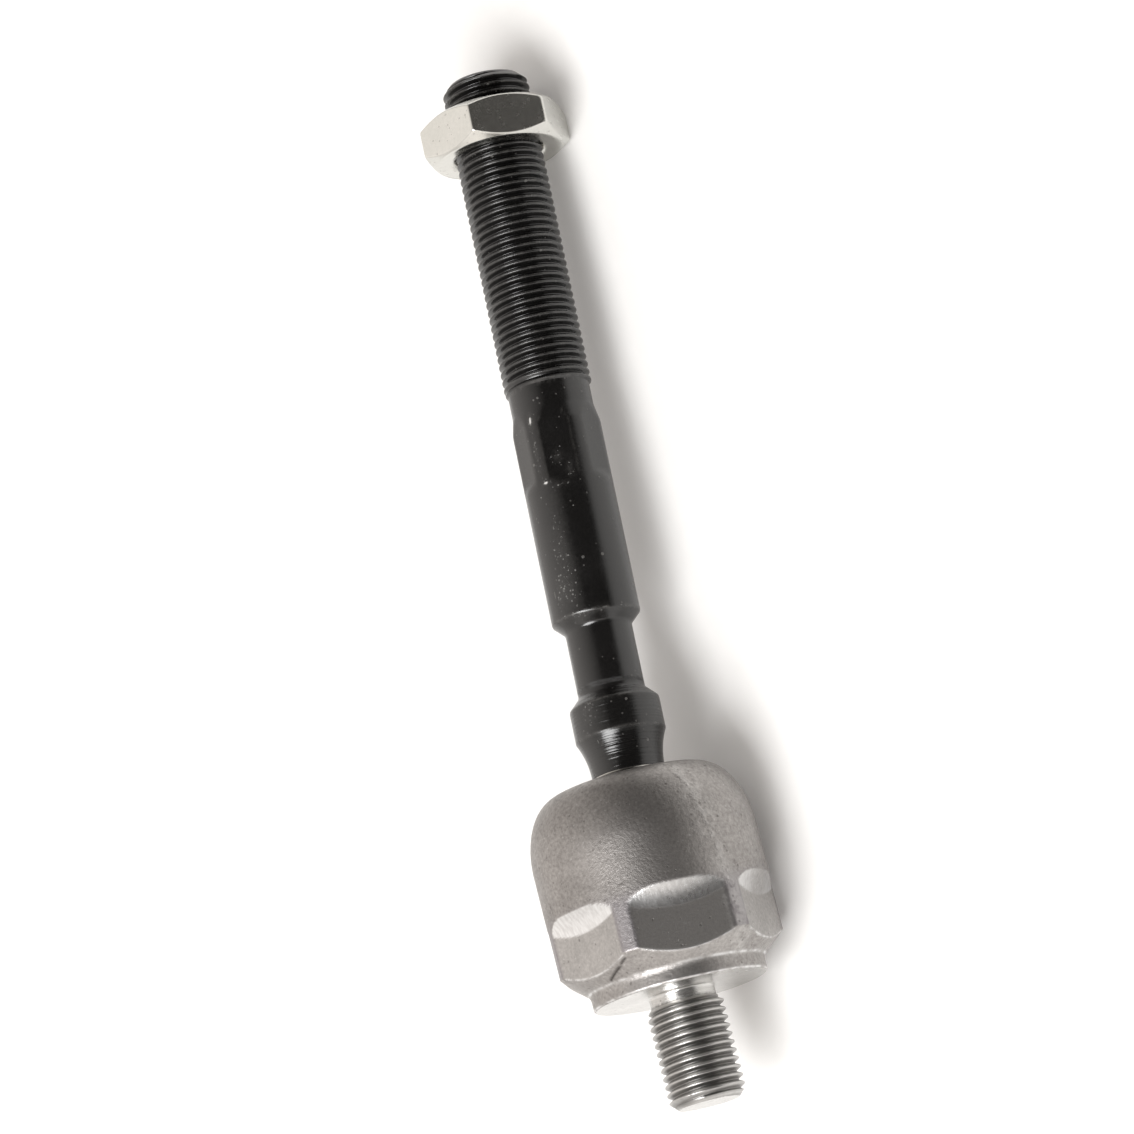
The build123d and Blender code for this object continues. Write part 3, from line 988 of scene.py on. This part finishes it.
def floor_material(finish, glow):
    """Pale paper with faint fibres. A faint glow, only where it is seen, makes it white where it is lit and
    keeps its shadow. Reflections see a painted shade on it, darker on the viewer's side."""
    material = bpy.data.materials.new("paper_floor")
    graph, ray = cleared_graph(material)
    graph.shader = graph.node("BsdfPrincipled", {"Specular IOR Level": 0.2})
    place = graph.node("TexCoord").outputs["Object"]
    fibre = graph.noise(place, 420.0, 4.0)
    fibres = graph.stretch(fibre, 0.3, 0.7, 0.0, 1.0)
    ahead = graph.node("SeparateXYZ", {0: place}).outputs["Y"]
    # Painted shade, only in reflections: the paper is mixed towards 0.05 by 0.16, rising to 0.88 at 0.2 m
    # towards the viewer (-Y).
    darker = graph.times(graph.stretch(ahead, -0.20, -0.01, 0.88, 0.16), ray["Is Glossy Ray"])
    paper = graph.mix(fibres, 0.97 * np.array(finish.floor), finish.floor)
    paper = graph.mix(darker, paper, (0.05, 0.05, 0.05))
    graph.surface(paper, 0.85, fibre, strength=0.15, distance=0.2 * MM)
    seen = graph.most(ray["Is Camera Ray"], ray["Is Glossy Ray"], ray["Is Transmission Ray"])
    white = {"Color": (1.0, 0.985, 0.965, 1.0), "Strength": graph.times(seen, glow)}
    both = {0: graph.shader.outputs[0], 1: graph.node("Emission", white).outputs[0]}
    graph.node("OutputMaterial", {"Surface": graph.node("AddShader", both).outputs[0]})
    return material


def studio_world(ambient):
    """Surroundings: white to the camera, and soft light from above for the surfaces. Reflections see a
    room that is pale behind and above, dark on the viewer's side, and has a bright wall on the left."""
    world = bpy.data.worlds.new("studio")
    graph, ray = cleared_graph(world)
    way = graph.node("TexCoord").outputs["Generated"]

    def facing(*direction):
        """Cosine of the angle to a direction."""
        inputs = {0: way, 1: direction}
        return graph.node("VectorMath", inputs, operation="DOT_PRODUCT").outputs["Value"]

    behind = graph.stretch(facing(0.0, 0.87, 0.49), 0.0, 1.0, 0.07, 1.05)
    wall = graph.stretch(facing(-0.97, -0.12, 0.2), 0.72, 1.0, 0.0, 0.9)
    room = graph.maths("ADD", behind, wall)
    soft = graph.stretch(facing(-0.42, 0.18, 0.89), -0.3, 1.0, 0.25 * ambient, 1.3 * ambient)
    glossy = ray["Is Glossy Ray"]
    level = graph.times(graph.maths("SUBTRACT", 1.0, glossy), soft)
    level = graph.most(graph.times_plus(room, glossy, level), ray["Is Camera Ray"])
    tint = graph.mix(ray["Is Camera Ray"], (1.0, 0.95, 0.905), (1.0, 1.0, 1.0))
    background = graph.node("Background", {"Color": tint, "Strength": level})
    graph.node("OutputWorld", {"Surface": background.outputs[0]})
    return world


class TIEROD_OT_stage(bpy.types.Operator):
    """Makes the floor, the light, the surroundings and the camera"""

    bl_idname = "tierod.stage"
    bl_label = "Stage"

    def execute(self, context):
        scene = context.scene
        stage = scene.tierod_stage
        low = CAD_BOX[0][2]
        corners = [(x * FLOOR_HALF, y * FLOOR_HALF, low) for x, y in ((-1, -1), (1, -1), (1, 1), (-1, 1))]
        mesh = bpy.data.meshes.new("paper")
        mesh.from_pydata(corners, [], [(0, 1, 2, 3)])
        mesh.materials.append(floor_material(scene.tierod_finishes, stage.glow))
        paper = bpy.data.objects.new("paper", mesh)
        scene.collection.objects.link(paper)
        key_light(stage.key_power)
        scene.world = studio_world(stage.ambient)
        lens = bpy.data.cameras.new("camera")
        lens.lens, lens.sensor_width, lens.sensor_fit = stage.lens, 36.0, "HORIZONTAL"
        lens.clip_start = 0.01
        camera = bpy.data.objects.new("camera", lens)
        turned = Matrix((CAMERA_RIGHT, CAMERA_UP, CAMERA_RIGHT.cross(CAMERA_UP))).transposed()
        camera.matrix_world = Matrix.Translation(CAMERA_PLACE) @ turned.to_4x4()
        scene.collection.objects.link(camera)
        scene.camera = camera
        scene.view_settings.view_transform = "Standard"
        return {"FINISHED"}


class TIEROD_PT_panel(bpy.types.Panel):
    """Lists the sizes, colours and steps"""

    bl_idname = "TIEROD_PT_panel"
    bl_label = "Inner Tie Rod"
    bl_space_type = "VIEW_3D"
    bl_region_type = "UI"
    bl_category = "Tie Rod"

    def draw(self, context):
        layout = self.layout
        for operator in STEPS:
            layout.operator(operator.bl_idname)
        for holder, kind in SETTINGS.items():
            box = layout.box()
            for name in kind.__annotations__:
                box.prop(getattr(context.scene, holder), name)


SETTINGS = {
    "tierod_rod": RodSizes,
    "tierod_housing": HousingSizes,
    "tierod_nut": NutSizes,
    "tierod_finishes": Finishes,
    "tierod_stage": StageSettings,
}
PIECES = (TIEROD_OT_rod, TIEROD_OT_housing, TIEROD_OT_nut, TIEROD_OT_seat)
STEPS = (TIEROD_OT_finishes, *PIECES, TIEROD_OT_stage)
CLASSES = (*SETTINGS.values(), *STEPS, TIEROD_PT_panel)


def register():
    for kind in CLASSES:
        bpy.utils.register_class(kind)
    for name, kind in SETTINGS.items():
        setattr(bpy.types.Scene, name, PointerProperty(type=kind))


def unregister():
    for name in SETTINGS:
        delattr(bpy.types.Scene, name)
    for kind in reversed(CLASSES):
        bpy.utils.unregister_class(kind)


def main():
    register()
    bpy.ops.tierod.finishes()
    bpy.ops.tierod.rod()
    bpy.ops.tierod.housing()
    bpy.ops.tierod.nut()
    bpy.ops.tierod.seat()
    bpy.ops.tierod.stage()


if __name__ == "__main__":
    main()
